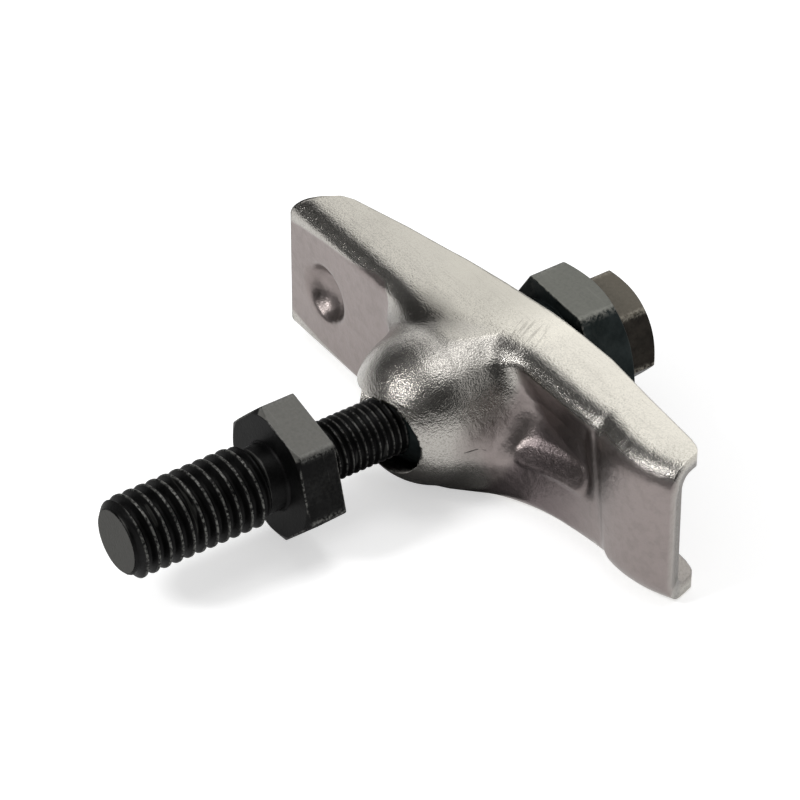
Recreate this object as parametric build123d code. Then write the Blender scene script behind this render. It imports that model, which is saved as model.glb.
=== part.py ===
from build123d import *
import math
import os

# Pressed-steel rocker arm on its ball pivot and pivot stud.
# Millimetres. Origin on the stud axis at the seating face of the stud collar;
# +X along the arm to the valve end, +Y up the stud to the nuts, +Z across the arm.

# ---- driving dimensions -------------------------------------------------
# pivot stud
COARSE_R = 4.0            # threaded end that screws into the head
COARSE_LEN = 16.6
NECK_R = 3.3              # undercut below the collar
NECK_LEN = 1.4
COLLAR_FLATS = 12.0
COLLAR_H = 4.0
COLLAR_TURN = 44.0        # a corner, from +Z toward +X
COLLAR_CHAMFER = 0.45
FINE_R = 3.0              # adjusting thread
RELIEF_R = 2.6            # undercut above the collar
RELIEF_LEN = 1.2
STUD_PROUD = 0.4          # fine end beyond the lock nut
TIP_CHAMFER = 0.9
FINE_CHAMFER = 0.5
# ball pivot
BALL_R = 6.0
BALL_Y = 18.6
BARREL_STEP = 0.1         # the plain barrel above the ball is this much slimmer
PIVOT_FLATS = 13.8
PIVOT_TURN = -27.3
PIVOT_SHANK = 13.4        # ball centre to the underside of the hexagon
PIVOT_HEX_H = 4.8
PIVOT_CHAMFER = 0.9
GROOVE_DEPTH = 0.3        # turned groove under the hexagon
GROOVE_LEN = 0.5
# lock nut
NUT_FLATS = 10.0
NUT_H = 3.8
NUT_TURN = 42.0
NUT_CHAMFER = 0.7
HEX_CHAMFER_ANGLE = 30.0  # corners of every hexagon are turned off at this slope, degrees
# arm: pressed sheet
SHEET = 1.6
HALF_WIDTH = 8.0
BEND_R = 2.0              # outside radius of the two long bends
TAIL_X = -25.8            # push-rod end
NOSE_X = 28.4             # valve end
TAIL_Y = 19.6             # outer face of the flat push-rod pad
WAIST_Y = 23.3            # outer face of the web's upper half along the waist
RISE_TAIL_X = -8.5        # where both halves of the web leave the tail's level
RISE_WAIST_X = 5.0        # where the upper half reaches the waist
STEP_Z = -0.6             # the two halves of the waist part here
RAMP_X = 17.3             # where the lower half reaches the waist, level again
RAMP_R = 19.0             # bow of that climb
DIP_Y = 16.0              # lowest place of the lower half, at the cup's foot
DIP_R = 4.0
PAD_X = 22.5              # lowest line of the curved valve pad
PAD_Y = 22.75
PAD_R = 12.0
CREASE_R = 1.0            # rounding where the pad starts
# arm: cup for the ball
CUP_WALL = 1.65
CUP_FLARE = 11.0          # draft of the cup wall above the ball centre, degrees
CUP_SHIFT = 0.2           # outside of the cup lies this far toward the tail
CUP_INSET = 0.1           # the cup's flat sides stand this far inside the flanks
CUP_OVER = 0.3            # the cup wall runs this far past the web
# arm: ridge from the cup to the pad, a run of three balls (x, y, z, radius)
RIDGE_ROOT = (4.5, 20.8, -1.0, 4.9)
RIDGE_KNEE = (11.0, 23.1, -1.0, 2.3)
RIDGE_TIP = (16.2, 24.2, -0.4, 1.9)
# arm: pocket pressed up in the upper half of the waist
POCKET_RISE = 0.9         # height of the pocket roof over the waist
POCKET_TOP_Z = 6.4
POCKET_DEEP_Z = 3.4
POCKET_START_X = 3.5
POCKET_FULL_X = 8.0
POCKET_LEAVE_X = 16.0
POCKET_END_X = 18.7
# arm: pear-shaped slot for the stud
SLOT_R = 3.85
SLOT_X = 1.35
SLOT_TAIL_R = 2.6
SLOT_TAIL_X = -4.5
# arm: push-rod socket
SOCKET_X = -20.0
SOCKET_R = 3.3
SOCKET_DEPTH = 2.0
# arm: free edge of the flanks in side view
TAIL_EDGE = [(-24.4, 22.4), (-24.0, 23.3), (-22.2, 24.6)]
FREE_EDGE = [(-9.0, 27.7), (3.0, 29.6), (12.0, 30.0), (18.5, 29.4), (25.4, 28.9)]
NOSE_EDGE = [(26.9, 28.5), (27.3, 28.1), (NOSE_X - 0.1, 25.4), (NOSE_X, 24.9)]
# named clearances
SEAT_GAP = 0.05           # ball in cup, radial
THREAD_GAP = 0.04         # plain stud in plain bore, radial
NUT_GAP = 0.05            # lock nut face to pivot face

# ---- derived ------------------------------------------------------------
SEAT_R = BALL_R + SEAT_GAP
BARREL_R = BALL_R - BARREL_STEP
GROOVE_R = BARREL_R - GROOVE_DEPTH
CUP_R = SEAT_R + CUP_WALL
CUP_TOP_Y = WAIST_Y + POCKET_RISE + SHEET + CUP_OVER
BORE_R = FINE_R + THREAD_GAP
PIVOT_HEX_Y = BALL_Y + PIVOT_SHANK
PIVOT_TOP_Y = PIVOT_HEX_Y + PIVOT_HEX_H
NUT_Y = PIVOT_TOP_Y + NUT_GAP
NUT_TOP_Y = NUT_Y + NUT_H
STUD_TOP_Y = NUT_TOP_Y + STUD_PROUD
# construction only: shapes are drawn past what trims them
PAST = 1.0                # a cutter or blank beyond the face that it meets
OVERRUN = 3.0             # the channel beyond both ends of the arm
OPEN_Y = WAIST_Y + 14.0   # the channel's open side
LOW_Y = BALL_Y - 2 * BALL_R   # below every face of the arm
TINY = 1e-3               # two heights closer than this are the same


# ---- turned parts -------------------------------------------------------
def up_y(y, turn=0.0):
    """Plane square to the stud at height y, its own X turned from +Z toward +X."""
    a = math.radians(turn)
    return Plane(origin=(0, y, 0), x_dir=(math.sin(a), 0, math.cos(a)), z_dir=(0, 1, 0))


def rod(radius, y0, y1):
    """Solid cylinder on the stud axis."""
    return extrude(up_y(y0) * Circle(radius), y1 - y0)


def turned(outline):
    """Solid of revolution about the stud axis from the closed outline of its half section."""
    return revolve(make_face(outline), Axis.Y)


def hex_block(flats, y0, y1, turn, chamfer_low=0.0, chamfer_high=0.0):
    """Hexagon with a corner at the given turn, its corners turned off by the given heights."""
    corner = flats / math.sqrt(3)
    reach = corner + PAST
    slope = math.tan(math.radians(HEX_CHAMFER_ANGLE))
    block = extrude(up_y(y0, turn) * RegularPolygon(corner, 6), y1 - y0)
    outline = [(0, y1), (0, y0)]
    if chamfer_low:
        outline += [(corner - chamfer_low / slope, y0), (reach, y0 + chamfer_low + PAST * slope)]
    else:
        outline += [(reach, y0)]
    if chamfer_high:
        outline += [(reach, y1 - chamfer_high - PAST * slope), (corner - chamfer_high / slope, y1)]
    else:
        outline += [(reach, y1)]
    return block & turned(Polyline(*outline, close=True))


def stud():
    """Pivot stud: coarse end, collar hexagon and fine adjusting end in one turning."""
    shank = turned(Polyline(
        (0, -COARSE_LEN),
        (COARSE_R - TIP_CHAMFER, -COARSE_LEN),
        (COARSE_R, -COARSE_LEN + TIP_CHAMFER),
        (COARSE_R, -NECK_LEN - (COARSE_R - NECK_R)),
        (NECK_R, -NECK_LEN),
        (NECK_R, COLLAR_H / 2),
        (RELIEF_R, COLLAR_H / 2),
        (RELIEF_R, COLLAR_H + RELIEF_LEN),
        (FINE_R, COLLAR_H + RELIEF_LEN + FINE_R - RELIEF_R),
        (FINE_R, STUD_TOP_Y - FINE_CHAMFER),
        (FINE_R - FINE_CHAMFER, STUD_TOP_Y),
        (0, STUD_TOP_Y),
        close=True,
    ))
    return shank + hex_block(COLLAR_FLATS, 0, COLLAR_H, COLLAR_TURN, COLLAR_CHAMFER, 0)


def pivot():
    """Ball pivot: ball end, plain barrel and hexagon, bored through for the stud."""
    ball_end = math.degrees(math.acos(BARREL_R / BALL_R))
    ball = arc((0, BALL_Y), BALL_R, -90, ball_end)
    barrel = Polyline(
        polar((0, BALL_Y), BALL_R, ball_end),
        (BARREL_R, PIVOT_HEX_Y - GROOVE_LEN),
        (GROOVE_R, PIVOT_HEX_Y - GROOVE_LEN),
        (GROOVE_R, PIVOT_HEX_Y),
        (0, PIVOT_HEX_Y),
        polar((0, BALL_Y), BALL_R, -90),
    )
    head = hex_block(PIVOT_FLATS, PIVOT_HEX_Y, PIVOT_TOP_Y, PIVOT_TURN, 0, PIVOT_CHAMFER)
    bore = rod(BORE_R, BALL_Y - BALL_R - PAST, PIVOT_TOP_Y + PAST)
    return turned([ball, barrel]) + head - bore


def lock_nut():
    """Thin hexagon nut, corners turned off on its upper face."""
    nut = hex_block(NUT_FLATS, NUT_Y, NUT_TOP_Y, NUT_TURN, 0, NUT_CHAMFER)
    return nut - rod(BORE_R, NUT_Y - PAST, NUT_TOP_Y + PAST)


# ---- rocker arm ---------------------------------------------------------
def across(face_xy, half):
    """Side-view face drawn out to both sides of the centre plane."""
    return extrude(face_xy, half, both=True)


def polar(centre, radius, angle):
    """Point of the side view at an angle from +X, degrees."""
    a = math.radians(angle)
    return centre[0] + radius * math.cos(a), centre[1] + radius * math.sin(a)


def arc(centre, radius, start, end):
    """Arc of the side view between two angles, degrees."""
    return ThreePointArc(polar(centre, radius, start), polar(centre, radius, (start + end) / 2),
                         polar(centre, radius, end))


def s_curve(p, q, depth):
    """Two equal arcs joining two level runs of the web, offset inward by the depth."""
    rise = abs(q[1] - p[1])
    radius = ((q[0] - p[0]) ** 2 + rise ** 2) / (4 * rise)
    lean = math.degrees(math.asin((q[0] - p[0]) / 2 / radius))
    climb = 1 if q[1] > p[1] else -1
    first = radius - climb * depth
    last = radius + climb * depth
    return [
        arc((p[0], p[1] + climb * radius), first, -90 * climb, (lean - 90) * climb),
        arc((q[0], q[1] - climb * radius), last, (90 + lean) * climb, 90 * climb),
    ]


def pad_run(depth):
    """Side view of the web from the end of the waist over the crease to the valve end."""
    centre = (PAD_X, PAD_Y + PAD_R)
    drop = centre[1] - WAIST_Y + CREASE_R
    reach = math.sqrt((PAD_R + CREASE_R) ** 2 - drop ** 2)
    crease = (PAD_X - reach, WAIST_Y - CREASE_R)
    turn = math.degrees(math.atan2(drop, reach))
    end = -math.degrees(math.acos((NOSE_X + OVERRUN - PAD_X) / (PAD_R - depth)))
    return crease[0], [
        arc(crease, CREASE_R + depth, 90, turn),
        arc(centre, PAD_R - depth, turn - 180, end),
    ]


def half_channel(depth, climb, z_from, z_to):
    """Half of the filled channel over one climb of the web, its long outer bend rounded."""
    crease_x, pad = pad_run(depth)
    start = (TAIL_X - OVERRUN, TAIL_Y + depth)
    end = pad[-1] @ 1
    floor = [Line(start, climb[0] @ 0)] + climb
    floor += [Line(climb[-1] @ 1, (crease_x, WAIST_Y + depth))] + pad
    top = Polyline((end.X, end.Y), (end.X, OPEN_Y), (start[0], OPEN_Y), start)
    face = Plane(origin=(0, 0, z_from)) * make_face(floor + [top])
    body = extrude(face, z_to - z_from)
    side = [edge for edge in body.edges() if abs(edge.center().Z - z_to) < TINY]
    bends = [
        edge for edge in side
        if edge.bounding_box().size.X > TINY and edge.center().Y < OPEN_Y - TINY
    ]
    return fillet(bends, BEND_R - depth)


def upper_half(depth):
    """Upper half of the filled channel, with the pocket beside the ridge."""
    climb = s_curve((RISE_TAIL_X, TAIL_Y), (RISE_WAIST_X, WAIST_Y), depth)
    return half_channel(depth, climb, STEP_Z - depth, HALF_WIDTH - depth) - pocket(depth)


def lower_half(depth):
    """Lower half of the filled channel: it hangs at the cup's foot and climbs to the pad."""
    ramp = (RAMP_X, WAIST_Y - RAMP_R)
    drop = DIP_Y + DIP_R - ramp[1]
    reach = math.sqrt((RAMP_R + DIP_R) ** 2 - drop ** 2)
    dip = (RAMP_X - reach, DIP_Y + DIP_R)
    turn = math.degrees(math.atan2(drop, -reach))
    climb = s_curve((RISE_TAIL_X, TAIL_Y), (dip[0], DIP_Y), depth)
    climb += [arc(dip, DIP_R - depth, -90, turn - 180), arc(ramp, RAMP_R + depth, turn, 90)]
    return half_channel(depth, climb, STEP_Z - depth, depth - HALF_WIDTH)


def tangent_run(p, q, depth):
    """Two balls (x, y, z, radius) with their common tangent cone, at a depth under the skin."""
    r = p[3] - depth
    s = q[3] - depth
    axis = Vector(*q[:3]) - Vector(*p[:3])
    length = axis.length
    lean = math.degrees(math.acos((r - s) / length))
    first = arc((0, 0), r, 180, lean)
    last = arc((length, 0), s, lean, 0)
    outline = [first, Line(first @ 1, last @ 0), last, Line(last @ 1, first @ 0)]
    along = Plane(origin=p[:3], x_dir=axis, z_dir=axis.cross(Vector(0, 1, 0)))
    return along * revolve(make_face(outline), Axis.X)


def ridge(depth):
    """Ridge between the cup and the valve pad."""
    return tangent_run(RIDGE_ROOT, RIDGE_KNEE, depth) + tangent_run(RIDGE_KNEE, RIDGE_TIP, depth)


def cup(radius, shift, half):
    """Ball cup: hemisphere with a drafted wall above the ball centre, cut to a half width."""
    wide = radius + (CUP_TOP_Y - BALL_Y) * math.tan(math.radians(CUP_FLARE))
    bowl = arc((0, BALL_Y), radius, -90, 0)
    wall = Polyline((radius, BALL_Y), (wide, CUP_TOP_Y), (0, CUP_TOP_Y), (0, BALL_Y - radius))
    body = Pos(-shift, 0, 0) * turned([bowl, wall])
    return body & Pos(0, BALL_Y, 0) * Box(4 * radius, 4 * radius, 2 * half)


def pocket(depth):
    """Pocket pressed up into the upper half of the waist: side view crossed with end view."""
    low = WAIST_Y + depth
    high = low + POCKET_RISE
    below = low - PAST
    along = depth / 2     # the side view's walls move this far under the sheet
    inward = depth / 4    # the end view's walls move this far
    side = Polyline((POCKET_START_X - along, low), (POCKET_FULL_X - along, high),
                    (POCKET_LEAVE_X + along, high), (POCKET_END_X + along, low),
                    (POCKET_END_X + along, below), (POCKET_START_X - along, below), close=True)
    top_z = POCKET_TOP_Z - inward
    deep_z = POCKET_DEEP_Z - inward
    far_z = STEP_Z - depth - PAST
    end = Polyline((low, top_z), (high, deep_z), (high, far_z), (below, far_z), (below, top_z),
                   close=True)
    prism = extrude(Plane.YZ * make_face(end), POCKET_END_X + depth + PAST)
    return across(make_face(side), HALF_WIDTH) & prism


def side_trim():
    """Side-view outline of the arm's free edges and ends, drawn out over its width."""
    outline = [
        Polyline((NOSE_X, LOW_Y), (TAIL_X, LOW_Y), (TAIL_X, TAIL_Y), TAIL_EDGE[0]),
        Spline(TAIL_EDGE),
        Spline([TAIL_EDGE[-1]] + FREE_EDGE),
        Polyline(FREE_EDGE[-1], *NOSE_EDGE, (NOSE_X, LOW_Y)),
    ]
    return across(make_face(outline), HALF_WIDTH + PAST)


def slot():
    """Pear-shaped slot through the bottom of the cup."""
    big = Pos(SLOT_X, 0) * Circle(SLOT_R)
    small = Pos(SLOT_TAIL_X, 0) * Circle(SLOT_TAIL_R)
    plan = Plane(origin=(0, BALL_Y, 0), x_dir=(1, 0, 0), z_dir=(0, -1, 0))
    return extrude(plan * make_hull((big + small).edges()), BALL_Y - LOW_Y)


def socket_ball(extra):
    """Ball that forms the push-rod socket, or the bulge that it raises inside."""
    return Pos(SOCKET_X, TAIL_Y + SOCKET_DEPTH - SOCKET_R, 0) * Sphere(SOCKET_R + extra)


def socket_bulge():
    """The part of the bulge that stands above the outer face of the tail."""
    size = 2 * (SOCKET_R + SHEET + PAST)
    return socket_ball(SHEET) & Pos(SOCKET_X, TAIL_Y + size / 2, 0) * Box(size, size, size)


def rocker_arm():
    """Pressed rocker arm: skin of even thickness, trimmed to its side view and pierced."""
    outer = upper_half(0) + lower_half(0)
    outer = outer + cup(CUP_R, CUP_SHIFT, HALF_WIDTH - CUP_INSET) + ridge(0)
    inner = upper_half(SHEET) + lower_half(SHEET)
    inner = inner + cup(SEAT_R, 0, HALF_WIDTH - SHEET - CUP_INSET) + ridge(SHEET)
    sheet = outer - inner + socket_bulge()
    return (sheet & side_trim()) - slot() - socket_ball(0)


# ---- write the pieces ---------------------------------------------------
PIECES = {
    "stud": stud(),
    "rocker_arm": rocker_arm(),
    "pivot": pivot(),
    "lock_nut": lock_nut(),
}
os.makedirs("parts", exist_ok=True)
for name, shape in PIECES.items():
    export_step(shape, f"parts/{name}.step")
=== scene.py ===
import math

import bmesh
import bpy
import numpy as np
from mathutils import Matrix, Vector


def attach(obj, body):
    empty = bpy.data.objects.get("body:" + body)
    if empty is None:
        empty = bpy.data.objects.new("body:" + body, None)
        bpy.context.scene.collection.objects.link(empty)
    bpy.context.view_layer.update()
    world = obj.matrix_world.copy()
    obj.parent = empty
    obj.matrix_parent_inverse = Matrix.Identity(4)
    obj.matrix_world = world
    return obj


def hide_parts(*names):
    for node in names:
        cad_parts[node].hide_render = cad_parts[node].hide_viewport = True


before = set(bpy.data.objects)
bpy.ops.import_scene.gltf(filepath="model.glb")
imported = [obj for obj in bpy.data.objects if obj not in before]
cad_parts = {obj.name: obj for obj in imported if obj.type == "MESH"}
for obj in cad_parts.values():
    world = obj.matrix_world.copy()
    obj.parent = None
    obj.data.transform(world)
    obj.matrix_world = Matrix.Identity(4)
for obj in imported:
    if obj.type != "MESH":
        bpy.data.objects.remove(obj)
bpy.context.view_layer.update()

MM = 0.001

# ---------------------------------------------------------------- view, floor and light
# A long-lens view from above the valve end, on a plain pale table under soft studio light.
CAMERA_PLACE = Vector((0.29954, -0.19256, 0.28973))
CAMERA_RIGHT = Vector((0.568729, 0.822525, 0.0))
CAMERA_UP = Vector((-0.509577, 0.352344, 0.784974))
CAMERA_BACK = Vector((0.645661, -0.446438, 0.619528))
LENS = 225.0
SENSOR = 36.0
FLOOR_Z = -0.0081
FLOOR_HALF = 3.0
FLOOR_COLOR = (0.86, 0.86, 0.86, 1)
FLOOR_GLOW = (0.50, 0.50, 0.50, 1)
AMBIENT = (0.45, 0.45, 0.45, 1)
WHITE = (1, 1, 1, 1)
BLACK = (0, 0, 0, 1)


class Socket:
    """A shader value with arithmetic: every operator adds a Math node."""

    def __init__(self, nodes, links, socket):
        self.nodes = nodes
        self.links = links
        self.socket = socket

    def _math(self, kind, *values):
        node = self.nodes.new("ShaderNodeMath")
        node.operation = kind
        for i, value in enumerate(values):
            if isinstance(value, Socket):
                self.links.new(value.socket, node.inputs[i])
            else:
                node.inputs[i].default_value = value
        return Socket(self.nodes, self.links, node.outputs[0])

    def __add__(self, other):
        return self._math("ADD", self, other)

    def __radd__(self, other):
        return self._math("ADD", other, self)

    def __sub__(self, other):
        return self._math("SUBTRACT", self, other)

    def __rsub__(self, other):
        return self._math("SUBTRACT", other, self)

    def __mul__(self, other):
        return self._math("MULTIPLY", self, other)

    def __rmul__(self, other):
        return self._math("MULTIPLY", other, self)

    def power(self, other):
        return self._math("POWER", self, other)

    def clamp(self):
        return self._math("MINIMUM", self._math("MAXIMUM", self, 0.0), 1.0)

    def step(self, low, high):
        """Smooth 0-to-1 step between low and high."""
        node = self.nodes.new("ShaderNodeMapRange")
        node.interpolation_type = "SMOOTHSTEP"
        self.links.new(self.socket, node.inputs["Value"])
        node.inputs["From Min"].default_value = low
        node.inputs["From Max"].default_value = high
        return Socket(self.nodes, self.links, node.outputs["Result"])


class Finish:
    """One material and the nodes that feed its surface."""

    def __init__(self, name, tree=None):
        if tree is None:
            self.material = bpy.data.materials.new(name)
            self.material.use_nodes = True
            tree = self.material.node_tree
        self.nodes = tree.nodes
        self.links = tree.links
        self.surface = self.nodes.get("Principled BSDF")

    def wrap(self, socket):
        return Socket(self.nodes, self.links, socket)

    def node(self, kind, output=0, settings=None, **values):
        """Adds a node; values are its inputs by name, with _ for a space."""
        made = self.nodes.new(kind)
        for key, value in (settings or {}).items():
            setattr(made, key, value)
        for key, value in values.items():
            self.put(made.inputs[key.replace("_", " ")], value)
        return self.wrap(made.outputs[output])

    def put(self, target, value):
        if isinstance(value, Socket):
            self.links.new(value.socket, target)
        else:
            target.default_value = value

    def set(self, **values):
        for key, value in values.items():
            self.put(self.surface.inputs[key.replace("_", " ")], value)

    def place(self):
        """Position in the frame, in metres."""
        return self.node("ShaderNodeTexCoord", "Object")

    def mask(self, name):
        """A value stored on the mesh's points."""
        return self.node("ShaderNodeAttribute", "Fac", {"attribute_name": name})

    def noise(self, scale, detail=3.0, rough=0.5, vector=None, stretch=None):
        vector = vector or self.place()
        if stretch:
            vector = self.node("ShaderNodeMapping", 0, None, Vector=vector, Scale=stretch)
        return self.node("ShaderNodeTexNoise", "Fac", None, Vector=vector, Scale=scale,
                         Detail=detail, Roughness=rough)

    def mix(self, factor, low, high):
        """Colour between low and high."""
        made = self.nodes.new("ShaderNodeMix")
        made.data_type = "RGBA"
        self.put(made.inputs[0], factor)
        self.put(made.inputs[6], low)
        self.put(made.inputs[7], high)
        return self.wrap(made.outputs[2])

    def bump(self, height, distance, strength=1.0):
        return self.node("ShaderNodeBump", 0, None, Height=height, Distance=distance, Strength=strength)


def add_object(name, mesh):
    made = bpy.data.objects.new(name, mesh)
    bpy.context.scene.collection.objects.link(made)
    return made


def add_light(name, place, target, size, power):
    lamp = bpy.data.lights.new(name, "AREA")
    lamp.shape = "RECTANGLE"
    lamp.size = size[0]
    lamp.size_y = size[1]
    lamp.energy = power
    made = add_object(name, lamp)
    made.location = place
    aim = Vector(target) - Vector(place)
    made.rotation_euler = aim.to_track_quat("-Z", "Y").to_euler()
    return made


scene = bpy.context.scene
scene.view_settings.view_transform = "Standard"
camera_data = bpy.data.cameras.new("camera")
camera_data.lens = LENS
camera_data.sensor_width = SENSOR
camera_data.clip_end = 10
camera = add_object("camera", camera_data)
turn = Matrix((CAMERA_RIGHT, CAMERA_UP, CAMERA_BACK)).transposed()
camera.matrix_world = Matrix.Translation(CAMERA_PLACE) @ turn.to_4x4()
scene.camera = camera

MIDDLE = (0.0, 0.012, 0.0)
add_light("key_light", (-0.09, -0.44, 0.42), MIDDLE, (0.14, 0.14), 1.5)
add_light("back_light", (-0.36, 0.34, 0.50), MIDDLE, (0.70, 0.70), 0.5)
add_light("top_light", (0.02, 0.10, 0.80), MIDDLE, (0.30, 0.30), 0.9)


def shown_white(finish):
    """1 for rays that see the studio itself: straight, mirrored or through glass."""
    rays = [finish.node("ShaderNodeLightPath", name)
            for name in ("Is Camera Ray", "Is Glossy Ray", "Is Transmission Ray")]
    return (rays[0] + rays[1] + rays[2]).clamp()


world = bpy.data.worlds.new("studio")
scene.world = world
world.use_nodes = True
sky = Finish(None, world.node_tree)
sky.put(sky.nodes["Background"].inputs["Color"], sky.mix(shown_white(sky), AMBIENT, WHITE))

floor_finish = Finish("floor")
floor_finish.set(Base_Color=FLOOR_COLOR, Roughness=0.9, Specular_IOR_Level=0.2)
floor_glow = floor_finish.mix(shown_white(floor_finish), BLACK, FLOOR_GLOW)
floor_finish.set(Emission_Color=floor_glow, Emission_Strength=1.0)
floor_mesh = bpy.data.meshes.new("floor")
floor_mesh.from_pydata(
    [(x * FLOOR_HALF, y * FLOOR_HALF, FLOOR_Z) for x, y in ((-1, -1), (1, -1), (1, 1), (-1, 1))],
    [], [(0, 1, 2, 3)])
floor_mesh.materials.append(floor_finish.material)
floor = add_object("floor", floor_mesh)


def flag(name, place, size, shade, toward=MIDDLE):
    """Dark card beside the set: metal shows it as the dark part of its reflections."""
    card = Finish(name)
    card.set(Base_Color=(shade, shade, shade, 1), Roughness=1.0, Specular_IOR_Level=0.0)
    mesh = bpy.data.meshes.new(name)
    x, y = size[0] / 2, size[1] / 2
    mesh.from_pydata([(-x, -y, 0), (x, -y, 0), (x, y, 0), (-x, y, 0)], [], [(0, 1, 2, 3)])
    mesh.materials.append(card.material)
    made = add_object(name, mesh)
    made.location = place
    made.rotation_euler = (Vector(toward) - Vector(place)).to_track_quat("Z", "Y").to_euler()
    made.visible_camera = False
    made.visible_shadow = False
    made.visible_diffuse = False
    return made


left_flag = flag("left_flag", (-0.29, -0.15, 0.20), (0.50, 0.66), 0.13)
low_flag = flag("low_flag", (-0.02, -0.34, 0.06), (0.50, 0.20), 0.10)
front_flag = flag("front_flag", (0.245, -0.135, 0.22), (0.82, 0.52), 0.10)
# Painted shadow: a dark card on the floor under the arm, seen only in reflections, stands in for the arm's
# own shadow there.
painted_shadow_card = flag("painted_shadow_card", (0.0, 0.0115, -0.00805), (0.020, 0.019), 0.25, (0.0, 0.0115, 1.0))


# ---------------------------------------------------------------- rocker arm
# Pressed from one piece of steel sheet, then tumbled: a U-channel with a ball cup, a ridge and a
# pocket at the waist, a curved valve pad and a dished push-rod socket. Struck faces are smooth and
# the metal that was only stretched has an orange-peel skin.
SHEET = 1.6
HALF_WIDTH = 8.0
TAIL_X = -25.8
NOSE_X = 28.4
TAIL_Y = 19.6
WAIST_Y = 23.3
RISE_TAIL_X = -8.5
RISE_WAIST_X = 5.0
CREASE_X = 19.0
PAD_X = 22.5
PAD_Y = 22.75
PAD_R = 12.0
PAD_REACH = (-6, 7)
BALL_Y = 18.6
SEAT_R = 6.05
CUP_R = 7.7
CUP_FLARE = math.tan(math.radians(11))
CUP_STEEP = math.tan(math.radians(5))
CUP_SHIFT = 0.2
CUP_HALF = 7.9
CUP_STEEP_X = (0.0, 4.0)       # the draft turns steeper over this stretch
CUP_SLIM = 0.5                 # the wall is this much slimmer toward the valve
CUP_SLIM_X = (4.2, 7.6)
RIDGE = [(9.8, -1.25, 1.35), (15.6, -0.75, 1.55)]
RIDGE_HEIGHT = 0.25
RIDGE_EDGE = (-0.6, 0.15)      # its side falls between these distances from the outline
SPLIT_Z = (0.0, -0.6)
SPLIT_FROM_X = 6.0
STEP_SOFT = 3.0                # half width of the step between pocket and ramp
STEP_SHARPER = 1.5             # and how much narrower it gets toward the valve
STEP_SHARPER_X = (8.0, 15.0)
STEP_UPPER = 0.9
BEND_TALL = 2.9
BEND_WIDE = 1.8
NOSE_BEND = 3.0
NOSE_BEND_X = (14.5, 21.0)     # the bends widen over this stretch
CREASE_SKEW = 0.17
CREASE_WIDTH = (-0.4, 1.2)
POCKET_END = 3.0
RAMP_X = 17.3
RAMP_R = 19.0
FOOT_X = 3.54
FOOT_Y = 17.4
FOOT_RISE_X = (-6, 2.0)
POCKET_RISE = 0.9
POCKET_HALF = 6.4
POCKET_SLOPE = 3.0
POCKET_START_X = 3.5
POCKET_FULL_X = 8.0
SLOT = (1.35, 3.85, -4.5, 2.6)
SOCKET = (-20.0, 3.3, 2.0)
BLEND = 1.1                    # fillet where cup and channel meet
BLEND_NOSE = 1.9               # wider than that toward the valve
BLEND_NOSE_X = (2.0, 6.0)
BLEND_TAIL = 2.6               # and at the upper side toward the push rod
BLEND_TAIL_X = (-5.0, 0.0)
BLEND_TAIL_Z = (1.0, 5.0)
CUP_SIDE_EDGE = 0.4
SEAT_EDGE = 0.5
SOCKET_EDGE = 0.5
SOCKET_INNER_EDGE = 0.6
TAIL_LEAN = 0.5                # slope of the flanks' ends
TAIL_LEAN_X = -17.0
NOSE_LEAN = -0.34
NOSE_LEAN_X = 21.0
NOSE_LEAN_Y = 24.9
FREE_EDGE = [(-24.4, 22.4), (-24.0, 23.3), (-23.3, 24.0), (-22.2, 24.6), (-15.6, 26.3), (-9.0, 27.7),
             (-3.0, 28.75), (3.0, 29.6), (7.5, 29.95), (12.0, 30.0), (18.5, 29.4), (25.4, 28.9),
             (26.4, 28.7), (26.9, 28.5), (27.3, 28.1)]
STATIONS = 262
AROUND = 172
PAD_OUTLINE = [(-26.5, 5.2), (-23.8, 5.7), (-20.3, 6.2), (-17.6, 6.4), (-15.4, 6.6), (-11.9, 7.3),
               (-10.4, 7.2), (-9.4, 6.4), (-9.0, 5.6), (-8.9, 4.2)]
STEEL_PEEL = (0.40, 0.384, 0.357, 1)
STEEL_TAIL = (0.475, 0.455, 0.402, 1)
STEEL_FLANK = (0.68, 0.652, 0.578, 1)
STEEL_STRUCK = (0.265, 0.230, 0.221, 1)
# Painted shade: the waist's facet and ramp are darkened where the metal reflects the shadowed floor.
STEEL_WAIST_PAINTED_SHADE = (0.155, 0.129, 0.130, 1)
# Painted shade for the neck, where the cup joins the channel.
STEEL_NECK_PAINTED_SHADE = (0.10, 0.094, 0.085, 1)
STEEL_INNER = (0.30, 0.28, 0.26, 1)
STEEL_PIT = (0.11, 0.10, 0.09, 1)
GRAIN_HEIGHT = 0.000046
SCUFF_X = 0.004
SCUFF_Y = 0.0256
SCUFF_LEAN = 0.46


def ease(x, a, b):
    t = np.clip((x - a) / (b - a), 0, 1)
    return t * t * (3 - 2 * t)


def union(a, b, k):
    """Smooth minimum: joins two bodies with a fillet of size k."""
    h = np.maximum(k - np.abs(a - b), 0) / k
    return np.minimum(a, b) - h * h * k / 4


def split_z(x):
    """Height of the line where the pocket's floor steps down to the ramp."""
    way = np.clip((x - SPLIT_FROM_X) / (CREASE_X - SPLIT_FROM_X), -1, 1.2)
    return SPLIT_Z[0] + (SPLIT_Z[1] - SPLIT_Z[0]) * way


def ridge_distance(x, z):
    """Distance, seen square to the web, to the tapered tongue of the ridge."""
    (x0, z0, r0), (x1, z1, r1) = RIDGE
    length = math.hypot(x1 - x0, z1 - z0)
    along = ((x - x0) * (x1 - x0) + (z - z0) * (z1 - z0)) / length
    off = ((z - z0) * (x1 - x0) - (x - x0) * (z1 - z0)) / length
    h = np.clip(along / length, 0, 1)
    return np.hypot(along - h * length, off) - (r0 + (r1 - r0) * h)


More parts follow.
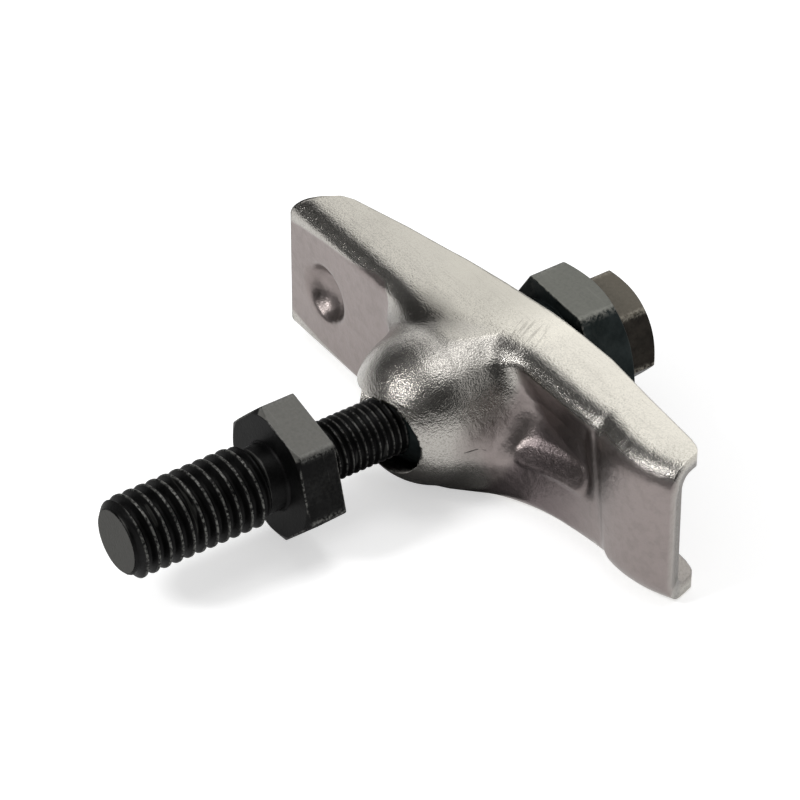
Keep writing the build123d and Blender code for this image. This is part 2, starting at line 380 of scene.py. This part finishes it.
def floor_level(x, z, depth):
    """Height of the web's face."""
    level = TAIL_Y + (WAIST_Y - TAIL_Y) * ease(x, RISE_TAIL_X, RISE_WAIST_X)
    roof = POCKET_RISE * np.clip((POCKET_HALF - z) / POCKET_SLOPE, 0, 1)
    ramp = np.clip((x - POCKET_START_X) / (POCKET_FULL_X - POCKET_START_X), 0, 1)
    crease = CREASE_X - CREASE_SKEW * z
    end = ease(crease - x, 0, POCKET_END)
    upper = level + np.minimum(np.minimum(roof, POCKET_RISE * ramp), POCKET_RISE * end)
    down_ramp = np.clip(RAMP_X - x, 0, RAMP_X - FOOT_X)
    ramp_y = WAIST_Y - RAMP_R + np.sqrt(RAMP_R ** 2 - down_ramp ** 2)
    lower = np.where(x > FOOT_X, ramp_y, TAIL_Y + (FOOT_Y - TAIL_Y) * ease(x, *FOOT_RISE_X))
    soft = STEP_SOFT - STEP_SHARPER * ease(x, *STEP_SHARPER_X)
    side = ease(z, split_z(x) - soft, split_z(x) + STEP_UPPER * soft)
    level = lower + (upper - lower) * np.where(x > FOOT_RISE_X[0], side, 1)
    level = level - RIDGE_HEIGHT * (1 - ease(ridge_distance(x, z), *RIDGE_EDGE)) + depth
    reach = np.clip(x - PAD_X, *PAD_REACH)
    pad = PAD_Y + PAD_R - np.sqrt((PAD_R - depth) ** 2 - reach ** 2)
    return level + (pad - level) * ease(x, crease + CREASE_WIDTH[0], crease + CREASE_WIDTH[1])


def channel(x, y, z, depth):
    """Distance to the filled channel, whose bends are taller than wide."""
    nose = ease(x, *NOSE_BEND_X)
    tall = BEND_TALL + (NOSE_BEND - BEND_TALL) * nose - depth
    wide = BEND_WIDE + (NOSE_BEND - BEND_WIDE) * nose - depth
    dy = floor_level(x, z, depth) + tall - y
    dz = np.abs(z) - (HALF_WIDTH - depth - wide)
    corner = np.maximum(np.hypot(np.maximum(dy, 0) / tall, np.maximum(dz, 0) / wide), 1e-6)
    near = np.hypot(np.maximum(dy, 0), np.maximum(dz, 0)) * (1 - 1 / corner)
    return np.where((dy > 0) | (dz > 0), near, np.maximum(dy - tall, dz - wide))


def cup(x, y, z, radius, shift, half, flare=CUP_FLARE):
    """Distance to the filled cup: half a ball below, a drafted wall above."""
    up = y - BALL_Y
    across = np.hypot(x + shift, z)
    ball = np.hypot(across, np.minimum(up, 0)) - radius
    wall = across - radius - flare * np.maximum(up, 0)
    return np.maximum(np.where(up < 0, ball, wall), np.abs(z) - half)


def socket_ball(x, y, z, extra):
    ball_x, ball_r, deep = SOCKET
    return np.sqrt((x - ball_x) ** 2 + (y - TAIL_Y - deep + ball_r) ** 2 + z ** 2) - ball_r - extra


def outer_form(x, y, z):
    """Distance to the outside of the sheet, negative within."""
    flare = CUP_FLARE + (CUP_STEEP - CUP_FLARE) * ease(x, *CUP_STEEP_X)
    narrow = CUP_R - CUP_SLIM * ease(x, *CUP_SLIM_X)
    blend = BLEND + BLEND_NOSE * ease(x, *BLEND_NOSE_X) \
        + BLEND_TAIL * (1 - ease(x, *BLEND_TAIL_X)) * ease(z, *BLEND_TAIL_Z)
    body = union(channel(x, y, z, 0), cup(x, y, z, narrow, CUP_SHIFT, CUP_HALF, flare), blend)
    body = -union(-body, HALF_WIDTH - np.abs(z), CUP_SIDE_EDGE)
    return -union(-body, socket_ball(x, y, z, 0), SOCKET_EDGE)


def inner_form(x, y, z):
    """Distance to the inside of the sheet, negative within."""
    body = union(channel(x, y, z, SHEET), cup(x, y, z, SEAT_R, 0, CUP_HALF - SHEET), SEAT_EDGE)
    return -union(-body, socket_ball(x, y, z, SHEET), SOCKET_INNER_EDGE)


def station_shift(start, y):
    """The end stations lean with the sloping ends of the flanks."""
    tail = TAIL_LEAN * (1 - ease(start, TAIL_X, TAIL_LEAN_X)) * np.maximum(y - TAIL_Y, 0)
    nose = NOSE_LEAN * ease(start, NOSE_LEAN_X, NOSE_X) * np.maximum(y - NOSE_LEAN_Y, 0)
    return tail + nose


def rim_heights(starts):
    edge_x = np.array([p[0] for p in FREE_EDGE])
    edge_y = np.array([p[1] for p in FREE_EDGE])
    rim = np.interp(starts, edge_x, edge_y)
    for _ in range(40):
        rim = 0.5 * rim + 0.5 * np.interp(starts + station_shift(starts, rim), edge_x, edge_y)
    return rim


def skin(form, starts, rim):
    """Grid of points on a form's face, rim to rim under the web at every station."""
    turns = np.radians(np.linspace(0, 180, 4 * AROUND + 1))[None]
    starts = starts[:, None]
    rim = rim[:, None]
    near = np.zeros((len(starts), turns.shape[1]))
    far = np.full_like(near, 24.0)
    for _ in range(34):
        mid = (near + far) / 2
        y = rim - mid * np.sin(turns)
        inside = form(starts + station_shift(starts, y), y, mid * np.cos(turns)) < 0
        near = np.where(inside, mid, near)
        far = np.where(inside, far, mid)
    y = rim - far * np.sin(turns)
    points = np.stack([starts + station_shift(starts, y), y, far * np.cos(turns)], -1)
    steps = np.linalg.norm(np.diff(points, axis=1), axis=2)
    run = np.concatenate([np.zeros((len(points), 1)), np.cumsum(steps, axis=1)], 1)
    rows = []
    for line, length in zip(points, run):
        at = np.linspace(0, length[-1], AROUND + 1)
        rows.append(np.stack([np.interp(at, length, line[:, k]) for k in range(3)], -1))
    return np.array(rows)


def grid_faces(rows, columns, base, flip):
    faces = []
    for i in range(rows - 1):
        for j in range(columns - 1):
            a = base + i * columns + j
            quad = (a, a + 1, a + columns + 1, a + columns)
            faces.append(quad[::-1] if flip else quad)
    return faces


def arm_mesh():
    starts = np.linspace(TAIL_X, NOSE_X, STATIONS)
    rim = rim_heights(starts)
    outside = skin(outer_form, starts, rim)
    inside = skin(inner_form, starts, rim)
    columns = AROUND + 1
    count = STATIONS * columns
    points = np.concatenate([outside.reshape(-1, 3), inside.reshape(-1, 3)])
    faces = grid_faces(STATIONS, columns, 0, False) + grid_faces(STATIONS, columns, count, True)
    for i in range(STATIONS - 1):
        for j in (0, AROUND):
            a = i * columns + j
            quad = (a, a + columns, a + columns + count, a + count)
            faces.append(quad if j == 0 else quad[::-1])
    for j in range(AROUND):
        for i in (0, STATIONS - 1):
            a = i * columns + j
            quad = (a, a + 1, a + 1 + count, a + count)
            faces.append(quad[::-1] if i == 0 else quad)
    mesh = bpy.data.meshes.new("rocker_arm_sheet")
    mesh.from_pydata((points * MM).tolist(), [], faces)
    mesh.update()
    return mesh


def slot_cutter():
    big_x, big_r, small_x, small_r = SLOT
    lean = math.asin((big_r - small_r) / (big_x - small_x))
    right = np.linspace(-math.pi / 2 - lean, math.pi / 2 + lean, 48)
    left = np.linspace(math.pi / 2 + lean, 3 * math.pi / 2 - lean, 32)
    ring = [(big_x + big_r * math.cos(a), big_r * math.sin(a)) for a in right]
    ring += [(small_x + small_r * math.cos(a), small_r * math.sin(a)) for a in left]
    count = len(ring)
    points = [(x * MM, y * MM, z * MM) for y in (5.0, BALL_Y) for x, z in ring]
    faces = [tuple(range(count)), tuple(reversed(range(count, 2 * count)))]
    for i in range(count):
        j = (i + 1) % count
        faces.append((j, i, i + count, j + count))
    mesh = bpy.data.meshes.new("slot_cutter")
    mesh.from_pydata(points, [], faces)
    mesh.update()
    return add_object("slot_cutter", mesh)


def smooth(made):
    for face in made.data.polygons:
        face.use_smooth = True


def settle(made):
    """Applies the object's modifiers to its mesh."""
    graph = bpy.context.evaluated_depsgraph_get()
    made.data = bpy.data.meshes.new_from_object(made.evaluated_get(graph))
    made.modifiers.clear()


def store(made, name, values):
    layer = made.data.attributes.new(name, "FLOAT", "POINT")
    layer.data.foreach_set("value", np.asarray(values, dtype=np.float32))


def near_mask(values, low, high):
    """1 where a distance is under low, 0 over high."""
    return 1 - ease(np.abs(values), low, high)


arm = add_object("arm_sheet", arm_mesh())
cutter = slot_cutter()
cut = arm.modifiers.new("slot", "BOOLEAN")
cut.operation = "DIFFERENCE"
cut.solver = "EXACT"
cut.object = cutter
settle(arm)
bpy.data.objects.remove(cutter)
smooth(arm)

at = np.array([v.co for v in arm.data.vertices]) / MM
ax, ay, az = at.T
above = ay - floor_level(ax, az, 0)
off_cup = cup(ax, ay, az, CUP_R, CUP_SHIFT, CUP_HALF)
outside = near_mask(outer_form(ax, ay, az), 0.02, 0.12)
flank = ease(np.abs(az), HALF_WIDTH - 0.35, HALF_WIDTH - 0.02)
pad_x, pad_z = np.array(PAD_OUTLINE).T
tail_pad = 1 - ease(np.abs(az) - np.interp(ax, pad_x, pad_z), -0.15, 0.15)
tail_pad = tail_pad * (1 - ease(ax, -9.2, -8.8))
in_width = (1 - ease(az, 6.2, 6.8)) * (1 - ease(-az, 7.2, 7.8))
web = near_mask(above, 0.05, 0.25) * ease(off_cup, 0.15, 0.6) * in_width * ease(ax, 2.0, 4.0)
valve_pad = ease(ax, CREASE_X - 0.3, CREASE_X + 0.3) * near_mask(above, 0.3, 0.9)
valve_pad = valve_pad * (1 - ease(-az, 7.4, 7.9))
smooth_waist = ease(ax, 6.3, 7.3) * (1 - ease(ax, 18.0, 19.0)) * in_width
struck = np.clip(tail_pad + np.maximum(web, smooth_waist) + valve_pad, 0, 1) * outside
on_ridge = (1 - ease(ridge_distance(ax, az), -0.1, 0.3)) * web
peel = 1 - 0.8 * np.clip(struck - 0.25 * on_ridge, 0, 1)
peel = peel * (1 - 0.85 * flank * ease(above, 3.0, 7.5))
# Painted shade at the waist: the web's facet and ramp are darkened where they reflect the shadowed floor.
waist = web * outside * (1 - 0.6 * ease(az, 0.0, 2.0)) * (1 - ease(ax, 11.0, 20.5))
# Painted shade at the neck: the saddle where the cup joins the channel is darkened.
neck_painted_shade = outside * (1 - ease(ax, -3.0, 2.0)) * (1 - ease(off_cup, 0.2, 3.5))
neck_painted_shade = neck_painted_shade * (1 - struck) * ease(ay, 17.8, 19.2) * (1 - ease(ay, 20.5, 23.5))
for name, values in (("flank", flank * outside), ("struck", struck), ("peel", peel), ("waist", waist),
                     ("neck_painted_shade", neck_painted_shade), ("inner", 1 - outside)):
    store(arm, name, values)
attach(arm, "rocker_arm")
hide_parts("rocker_arm")

steel = Finish("pressed_steel")
is_flank = steel.mask("flank")
is_struck = steel.mask("struck")
is_inner = steel.mask("inner")
cloud = steel.noise(180, 3.0, 0.6)
grain = steel.noise(5600, 2.0, 0.6)
speck = steel.noise(11000, 1.0, 0.5)
mottle = steel.noise(1100, 2.0, 0.5)
lines = steel.noise(60, 4.0, 0.7, stretch=(2.0, 60.0, 2.0))
strokes = steel.noise(90, 1.0, 0.5, stretch=(22.0, 5.0, 1.0))
at_x = steel.node("ShaderNodeSeparateXYZ", "X", None, Vector=steel.place())
at_y = steel.node("ShaderNodeSeparateXYZ", "Y", None, Vector=steel.place())
from_scuff = ((at_x - SCUFF_X) * (at_x - SCUFF_X) + (at_y - SCUFF_Y) * (at_y - SCUFF_Y)).power(0.5)
scuff_lines = steel.node("ShaderNodeMapping", 0, {"vector_type": "TEXTURE"}, Vector=steel.place(),
                         Rotation=(0, 0, SCUFF_LEAN), Scale=(0.0004, 0.006, 1.0))
scuff = steel.noise(1.0, 2.0, 0.5, scuff_lines).step(0.56, 0.64)
scuff = scuff * (1 - from_scuff.step(0.0012, 0.0032)) * is_flank
# The flank's colour goes from STEEL_TAIL at the tail to the lighter STEEL_FLANK toward the valve.
lighter_toward_valve = (at_x + (cloud - 0.5) * 0.004).step(-0.002, 0.006)
flank_shade = steel.mix(lighter_toward_valve, STEEL_TAIL, STEEL_FLANK)
shade = steel.mix(is_flank, STEEL_PEEL, flank_shade)
shade = steel.mix(is_struck, shade, STEEL_STRUCK)
# Painted shade at the waist.
shade = steel.mix(steel.mask("waist"), shade, STEEL_WAIST_PAINTED_SHADE)
# Painted shade at the neck.
shade = steel.mix(steel.mask("neck_painted_shade") * 0.8, shade, STEEL_NECK_PAINTED_SHADE)
shade = steel.mix(is_inner, shade, STEEL_INNER)
peel = steel.mask("peel")
pits = grain.step(0.46, 0.64) * peel * (0.3 - is_flank * 0.16)
pits = pits + mottle.step(0.42, 0.7) * is_struck * 0.14
pits = pits + cloud.step(0.45, 0.75) * 0.10
pits = pits + lines.step(0.50, 0.72) * is_flank * 0.12 + scuff * 0.3
shade = steel.mix(pits, shade, STEEL_PIT)
rough = 0.20 + is_struck * 0.12 + cloud * 0.06
height = (grain + speck * 0.3) * (0.2 + peel * 0.8) + mottle * 1.2
height = height + (lines * 0.5 + strokes * 0.2) * is_flank
steel.set(Base_Color=shade, Metallic=1.0, Roughness=rough)
steel.set(Normal=steel.bump(height, GRAIN_HEIGHT, 1.0))
arm.data.materials.clear()
arm.data.materials.append(steel.material)


# ---------------------------------------------------------------- pivot stud
# Turned from hexagon bar and blackened: a rolled M8 thread for the head, a hexagon collar and an
# M6 fine thread that carries the pivot and its lock nut.
COARSE = {"from": -16.6, "to": -1.9, "pitch": 1.25, "crest": 3.97, "steps": 16}
FINE = {"from": 5.4, "to": 41.05, "pitch": 0.75, "crest": 2.96, "steps": 6}
THREAD_DEPTH = 0.6134          # of the pitch
CREST_FLAT = 0.125             # of half a pitch
FLANK_RUN = 0.625
TIP_R = 3.1
NECK_R = 3.3
COLLAR = {"flats": 12.0, "from": 0.0, "to": 4.0, "turn": 44.0, "low": 0.45, "high": 0.0}
RELIEF_R = 2.55
FINE_TIP_R = 2.45
SOFT = 0.09
HEX_SHARPNESS = 110
COLUMNS = 180
TURNS = np.linspace(0, 2 * math.pi, COLUMNS + 1)


def ring(height, radius):
    """One row of the grid: a height and a radius at every turn round the axis."""
    return np.broadcast_to(np.array(height, float), TURNS.shape), \
        np.broadcast_to(np.array(radius, float), TURNS.shape)


def thread_rows(spec):
    """Rows that climb with the thread, crest to root and back in every pitch."""
    pitch = spec["pitch"]
    steps = spec["steps"]
    turns = math.ceil((spec["to"] - spec["from"]) / pitch) + 1
    rows = []
    for i in range((turns + 1) * steps):
        start = spec["from"] - pitch + i * pitch / steps
        across = abs(2 * ((i / steps) % 1) - 1)
        depth = THREAD_DEPTH * pitch * min(max((across - CREST_FLAT) / FLANK_RUN, 0), 1)
        height = np.clip(start + pitch * TURNS / (2 * math.pi), spec["from"], spec["to"])
        rows.append((height, np.full_like(height, spec["crest"] - depth)))
    return rows


def limited(rows, limit):
    """Rows cut down to a radius that depends on the height."""
    return [(height, np.minimum(radius, limit(height))) for height, radius in rows]


def hex_radius(flats, turn, at=TURNS):
    """Radius of a hexagon with slightly rounded corners."""
    total = sum(np.maximum(np.cos(at - math.radians(turn + 30 + 60 * k)), 0) ** HEX_SHARPNESS
                for k in range(6))
    return flats / 2 / total ** (1 / HEX_SHARPNESS)


def hex_corners(spec):
    """Corner rows of a hexagon whose corners are turned off at 30 degrees."""
    edge = hex_radius(spec["flats"], spec["turn"])
    slope = math.tan(math.radians(30))
    rows = []
    for y, chamfer, way in ((spec["from"], spec["low"], 1), (spec["to"], spec["high"], -1)):
        face_r = np.minimum(edge, spec["flats"] / math.sqrt(3) - chamfer / slope)
        pair = [ring(y, edge)]
        if chamfer:
            pair = [ring(y, face_r), (y + way * (edge - face_r) * slope, edge)]
        rows += pair if way == 1 else pair[::-1]
    return rows


def rounded(rows, size):
    """Rows with every corner between them softened by a small curve."""
    made = [rows[0]]
    for before, corner, after in zip(rows, rows[1:], rows[2:]):
        p = [np.array(v) for v in (before, corner, after)]
        back = np.hypot(*(p[0] - p[1])) + 1e-9
        ahead = np.hypot(*(p[2] - p[1])) + 1e-9
        reach_back = np.minimum(size / back, 0.22)
        reach_ahead = np.minimum(size / ahead, 0.22)
        start = p[1] + (p[0] - p[1]) * reach_back
        end = p[1] + (p[2] - p[1]) * reach_ahead
        made.append(tuple(p[1] + (p[0] - p[1]) * reach_back * 2))
        for t in (0, 0.25, 0.5, 0.75, 1):
            made.append(tuple(start * (1 - t) ** 2 + p[1] * 2 * t * (1 - t) + end * t ** 2))
        made.append(tuple(p[1] + (p[2] - p[1]) * reach_ahead * 2))
    return made + [rows[-1]]


def turned_object(name, shells):
    """Mesh from shells of rows round the stud axis, welded where points meet."""
    points = []
    faces = []
    for rows in shells:
        base = sum(len(p) for p in points)
        for height, radius in rows:
            points.append(np.stack([radius * np.sin(TURNS), height, radius * np.cos(TURNS)], -1))
        faces += grid_faces(len(rows), COLUMNS + 1, base, False)
    mesh = bpy.data.meshes.new(name)
    mesh.from_pydata((np.concatenate(points) * MM).tolist(), [], faces)
    weld = bmesh.new()
    weld.from_mesh(mesh)
    bmesh.ops.remove_doubles(weld, verts=weld.verts, dist=2e-6)
    bmesh.ops.dissolve_degenerate(weld, edges=weld.edges, dist=1e-7)
    bmesh.ops.recalc_face_normals(weld, faces=weld.faces)
    weld.to_mesh(mesh)
    weld.free()
    made = add_object(name, mesh)
    smooth(made)
    return made


def part_masks(made, hexes, threads):
    """Stores where edges are rubbed bare, and which flats lie upward for a painted lighter top."""
    at = np.array([v.co for v in made.data.vertices]) / MM
    radius = np.hypot(at[:, 0], at[:, 2])
    turn = np.degrees(np.arctan2(at[:, 0], at[:, 2]))
    rubbed = np.zeros(len(at))
    upper = np.zeros(len(at))
    for spec in hexes:
        half = spec["flats"] / 2
        inside = (at[:, 1] > spec["from"] - 0.01) & (at[:, 1] < spec["to"] + 0.01) & (radius > half * 0.9)
        corner = radius / (spec["flats"] / math.sqrt(3))
        ends = np.minimum(at[:, 1] - spec["from"], spec["to"] - at[:, 1])
        edge = hex_radius(spec["flats"], spec["turn"], np.radians(turn))
        rim = np.hypot(np.maximum(ends, 0), np.maximum(edge - radius, 0))
        worn = np.maximum(ease(corner, 0.955, 0.99), 1 - ease(rim, 0.05, 0.2))
        rubbed = np.where(inside, worn, rubbed)
        # Flats that face up are marked for the painted lighter top.
        face = (turn - spec["turn"]) % 60
        normal = turn - face + 30
        flat = (np.abs(normal) < 20) & inside & (ends > 0.03)
        upper = np.where(flat, 1, upper)
    for spec in threads:
        inside = (at[:, 1] > spec["from"]) & (at[:, 1] < spec["to"]) & (radius < spec["crest"] + 0.05)
        worn = ease(radius, spec["crest"] - 0.14, spec["crest"] - 0.02)
        rubbed = np.where(inside, worn, rubbed)
    # The stud's end face also takes the lighter top colour, at 0.45.
    tip = (at[:, 1] < COARSE["from"] + 0.02) & (radius < TIP_R)
    upper = np.where(tip, 0.45, upper)
    store(made, "rubbed", rubbed)
    store(made, "upper", upper)


def black_finish(name, dark, light, bare, top_painted_light, roughness):
    """Black oxide: dark blotches, painted light on the upward flats, bare along edges and in thin
    scratches.
    """
    made = Finish(name)
    blotch = made.noise(450, 4.0, 0.6)
    fine = made.noise(3200, 2.0, 0.6)
    scratch = made.noise(140, 2.0, 0.5, stretch=(1.0, 14.0, 1.0)).step(0.68, 0.72)
    shade = made.mix(blotch.step(0.3, 0.75), dark, light)
    # Painted light: the flats that face up are lighter.
    shade = made.mix(made.mask("upper") * (0.75 + fine * 0.4), shade, top_painted_light)
    shade = made.mix(made.mask("rubbed") * fine.step(0.35, 0.65) * 0.8, shade, bare)
    shade = made.mix(scratch * 0.25, shade, bare)
    made.set(Base_Color=shade, Metallic=0.5, Roughness=roughness + blotch * 0.14)
    made.set(Specular_Tint=(0.35, 0.35, 0.35, 1), Specular_IOR_Level=0.15)
    made.set(Normal=made.bump(fine + blotch * 0.6, 0.00003, 0.6))
    return made


coarse = limited(thread_rows(COARSE), lambda y: np.minimum(
    TIP_R + (y - COARSE["from"]) * 1.1, NECK_R + np.maximum(COARSE["to"] - y, 0) * 0.9))
fine = limited(thread_rows(FINE), lambda y: np.minimum(
    RELIEF_R + np.maximum(y - FINE["from"], 0) * 0.8, FINE_TIP_R + (FINE["to"] - y)))
tip = [ring(COARSE["from"], TIP_R * 0.5), ring(COARSE["from"], TIP_R),
       ring(COARSE["from"] + 0.05, TIP_R + 0.055)]
shank = [ring(COARSE["from"], 0)] + rounded(tip, 0.02)
shank += coarse + [ring(COARSE["to"], NECK_R), ring(-0.3, NECK_R), ring(-0.1, NECK_R + 0.08),
                   ring(0.05, NECK_R + 0.3), ring(1.0, NECK_R), ring(1.2, RELIEF_R),
                   ring(FINE["from"], RELIEF_R)]
shank += fine + [ring(FINE["to"], FINE_TIP_R), ring(FINE["to"], FINE_TIP_R * 0.5), ring(FINE["to"], 0)]
collar = [ring(COLLAR["from"], RELIEF_R - 0.3)] + hex_corners(COLLAR) + [ring(COLLAR["to"], RELIEF_R - 0.3)]
collar = rounded(collar, SOFT)
stud = turned_object("stud_turned", [shank, collar])
part_masks(stud, [COLLAR], [COARSE, FINE])
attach(stud, "stud")
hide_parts("stud")
stud_black = black_finish("stud_black_oxide", (0.005, 0.005, 0.005, 1), (0.012, 0.012, 0.012, 1),
                          (0.17, 0.17, 0.16, 1), (0.137, 0.135, 0.125, 1), 0.34)
stud.data.materials.append(stud_black.material)


# ---------------------------------------------------------------- ball pivot
# Turned and blackened: a ball end that rocks in the arm's cup, a plain barrel and a hexagon, with
# the fine thread cut right through it.
BALL_R = 6.0
BARREL_R = 5.9
BORE_R = 3.03
GROOVE_R = 5.6
GROOVE_Y = 31.5
PIVOT_HEX = {"flats": 13.8, "from": 32.0, "to": 36.8, "turn": -27.3, "low": 0.0, "high": 0.9}
ball_from = -math.acos(BORE_R / BALL_R)
ball_to = math.acos(BARREL_R / BALL_R)
ball = [ring(BALL_Y + BALL_R * math.sin(a), BALL_R * math.cos(a))
        for a in np.linspace(ball_from, ball_to, 40)]
upper_part = [ball[-1], ring(GROOVE_Y, BARREL_R), ring(GROOVE_Y + 0.05, GROOVE_R),
              ring(PIVOT_HEX["from"], GROOVE_R)] + hex_corners(PIVOT_HEX)
upper_part += [ring(PIVOT_HEX["to"], BORE_R + 0.4), ring(PIVOT_HEX["to"] - 0.4, BORE_R)]
pivot = turned_object("pivot_turned", [ball + rounded(upper_part, SOFT)[1:] + [ball[0]]])
part_masks(pivot, [PIVOT_HEX], [])
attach(pivot, "pivot")
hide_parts("pivot")
pivot_black = black_finish("pivot_black_oxide", (0.010, 0.014, 0.014, 1), (0.028, 0.035, 0.035, 1),
                           (0.22, 0.22, 0.20, 1), (0.155, 0.157, 0.14, 1), 0.30)
pivot.data.materials.append(pivot_black.material)


# ---------------------------------------------------------------- lock nut
# Thin hexagon nut, tightened against the pivot; its black finish is scuffed by the spanner.
NUT = {"flats": 10.0, "from": 36.85, "to": 40.65, "turn": 42.0, "low": 0.0, "high": 0.7}
nut_rows = [ring(NUT["from"], BORE_R)] + hex_corners(NUT)
nut_rows += [ring(NUT["to"], BORE_R + 0.4), ring(NUT["to"] - 0.4, BORE_R), ring(NUT["from"], BORE_R)]
nut = turned_object("lock_nut_turned", [rounded(nut_rows, SOFT)])
part_masks(nut, [NUT], [])
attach(nut, "lock_nut")
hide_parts("lock_nut")
nut_black = black_finish("nut_black_oxide", (0.010, 0.0085, 0.007, 1), (0.030, 0.026, 0.021, 1),
                         (0.26, 0.24, 0.20, 1), (0.115, 0.104, 0.085, 1), 0.32)
nut.data.materials.append(nut_black.material)
